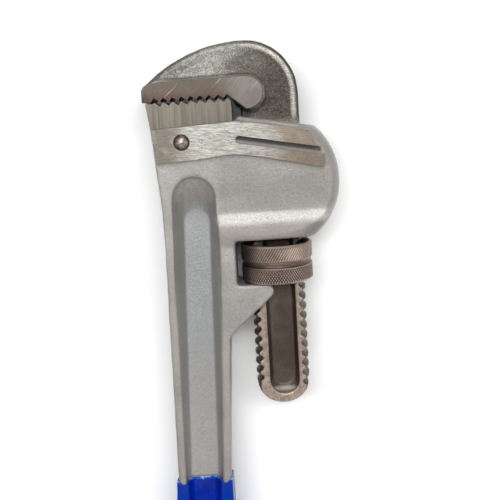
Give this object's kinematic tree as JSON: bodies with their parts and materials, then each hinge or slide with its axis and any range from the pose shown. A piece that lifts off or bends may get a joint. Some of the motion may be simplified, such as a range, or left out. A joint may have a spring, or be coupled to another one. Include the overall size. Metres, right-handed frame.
{
  "type": "pipe wrench",
  "caption": "Straight adjustable pipe wrench: a toothed hook jaw on a threaded shank slides through a cast handle's housing when its knurled nut turns.",
  "frame": {"origin": "bottom centre of the whole wrench's box, lying on its side: the nut's rim is at Z = 0", "axes": "+Y along the shank of the hook jaw, towards the jaws; +Z through the thickness; +X from the heel jaw towards the housing"},
  "size_m": [0.1181, 0.418, 0.0444],
  "materials": {
    "cast_body": "silver-grey paint over a cast surface, with ground bands",
    "grip": "glossy dipped vinyl",
    "heel_steel": "ground",
    "pin_steel": "polished",
    "spring_steel": "oiled",
    "nut_steel": "oxidised, knurled",
    "forged_steel": "forged and tumbled, with ground faces"
  },
  "bodies": {
    "handle": {"handle_body": "cast_body", "grip": "grip", "heel_jaw": "heel_steel", "heel_jaw_pin": "pin_steel", "coil_spring": "spring_steel"},
    "spring_leaf": {"flat_spring": "spring_steel", "spring_rivet": "pin_steel"},
    "hook": {"hook_jaw": "forged_steel"},
    "nut": {"adjusting_nut": "nut_steel"}
  },
  "joints": [
    {"name": "jaw_rock", "type": "hinge", "parent": "handle", "child": "spring_leaf", "pos_m": [0.01855, 0.0755, 0.0222], "axis": [0, 0, -1], "range_deg": [0, 2.5], "stiffness_Nm_per_rad": 20, "springref_deg": -2.86, "deforming": ["coil_spring"]},
    {"name": "jaw_slide", "type": "slide", "parent": "spring_leaf", "child": "hook", "axis": [0, 1, 0], "range_m": [0, 0.0698]},
    {"name": "nut_turn", "type": "hinge", "parent": "spring_leaf", "child": "nut", "pos_m": [0.01855, 0.0755, 0.0222], "axis": [0, -1, 0], "range_deg": [0, 3960]}
  ],
  "couplings": [
    {"joint": "nut_turn", "follows": "jaw_slide", "rad_per_m": 989.48}
  ]
}
